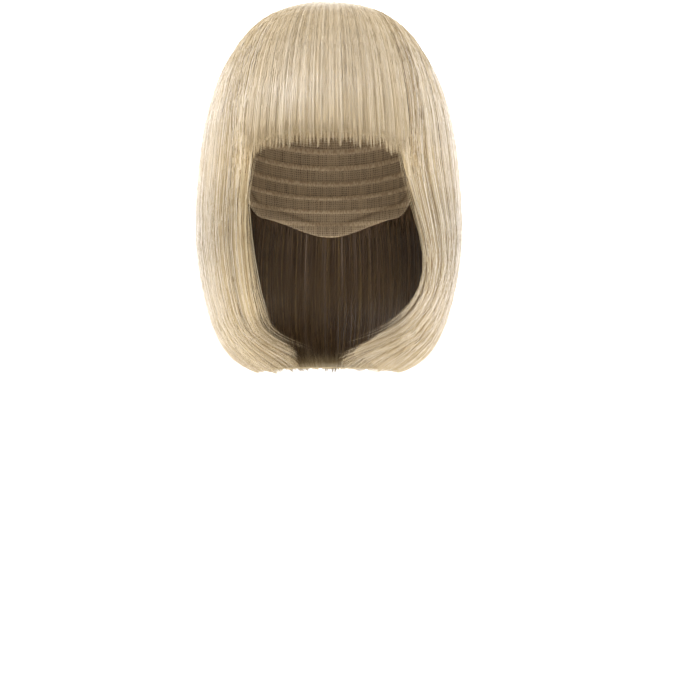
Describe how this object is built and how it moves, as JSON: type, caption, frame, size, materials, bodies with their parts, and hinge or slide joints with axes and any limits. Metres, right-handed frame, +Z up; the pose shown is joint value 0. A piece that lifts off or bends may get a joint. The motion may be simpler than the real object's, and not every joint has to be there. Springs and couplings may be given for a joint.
{
  "type": "short wig",
  "caption": "Short straight bob wig with a full fringe and inward-turned ends, hair fields sewn over a thin stretch cap that is open for the head, neck and face.",
  "frame": {"origin": "where the crown of the head touches the inside of the cap, on the middle plane", "axes": "+Z up, the face looks along -Y, +X is the wearer's left"},
  "size_m": [0.2105, 0.2189, 0.2985],
  "materials": {
    "hair": "pale ash-blond synthetic hair, silky sheen along the strands",
    "cap_net": "matt beige stretch net with rows of weft tape"
  },
  "bodies": {
    "root": {"cap": "cap_net", "crown": "hair", "fringe": "hair", "side_hair_left": "hair", "side_hair_right": "hair", "back_hair": "hair"}
  },
  "joints": []
}
